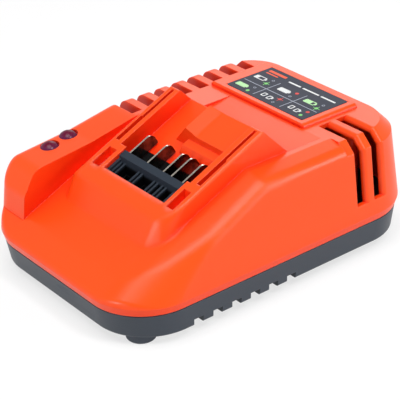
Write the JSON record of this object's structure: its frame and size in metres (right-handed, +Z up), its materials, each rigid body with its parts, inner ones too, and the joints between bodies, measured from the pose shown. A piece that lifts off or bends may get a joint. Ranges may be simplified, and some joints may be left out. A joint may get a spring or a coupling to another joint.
{
  "type": "power tool battery charger",
  "caption": "Desktop charger for slide-on tool batteries: inclined dock with rail slots and contact blades, domed indicator lenses, vented two-part housing on rubber feet.",
  "frame": {"origin": "centre of the footprint at the underside of the feet", "axes": "+Z up, +Y from the low front to the label end, +X to the right seen from the front"},
  "size_m": [0.1224, 0.175, 0.0743],
  "materials": {
    "orange_plastic": "moulded ABS, satin",
    "grey_plastic": "moulded ABS, fine texture",
    "grey_rubber": "soft feet",
    "screw_steel": "zinc plated",
    "black_rubber": "moulded",
    "black_plastic": "glass filled nylon",
    "lead_insulation": "PVC insulated wire",
    "label_print": "printed film",
    "lens_red": "tinted, polished",
    "board_laminate": "solder mask",
    "ferrite": "sintered ferrite",
    "copper_wire": "enamelled copper",
    "can_aluminium": "extruded or drawn",
    "connector_plastic": "moulded",
    "fuse_glass": "clear tube, plated caps",
    "contact_metal": "tin plated copper alloy"
  },
  "bodies": {
    "root": {"bridge_rectifier": "black_plastic", "charge_indicator_lens": "lens_red", "circuit_board": "board_laminate", "circuit_board_screws": "screw_steel", "controller_chip": "black_plastic", "cord_inlet_bushing": "black_rubber", "fuse": "fuse_glass", "fuse_clips": "contact_metal", "heat_sink": "can_aluminium", "housing_screws": "screw_steel", "identity_blade": "contact_metal", "indicator_board": "board_laminate", "indicator_board_screws": "screw_steel", "indicator_lamps": "lens_red", "indicator_leads": "lead_insulation", "input_capacitor": "can_aluminium", "instruction_label": "label_print", "line_choke_core": "ferrite", "line_choke_windings": "copper_wire", "lower_housing": "grey_plastic", "mains_connector": "connector_plastic", "negative_blade": "contact_metal", "output_capacitors": "can_aluminium", "output_rectifier": "black_plastic", "positive_blade": "contact_metal", "power_indicator_lens": "lens_red", "power_transistor": "black_plastic", "rubber_feet": "grey_rubber", "sense_blade": "contact_metal", "terminal_block": "black_plastic", "terminal_block_screws": "screw_steel", "terminal_leads": "lead_insulation", "thermistor_blade": "contact_metal", "transformer_bobbin": "black_plastic", "transformer_core": "ferrite", "transformer_winding": "copper_wire", "upper_housing": "orange_plastic"}
  },
  "joints": []
}
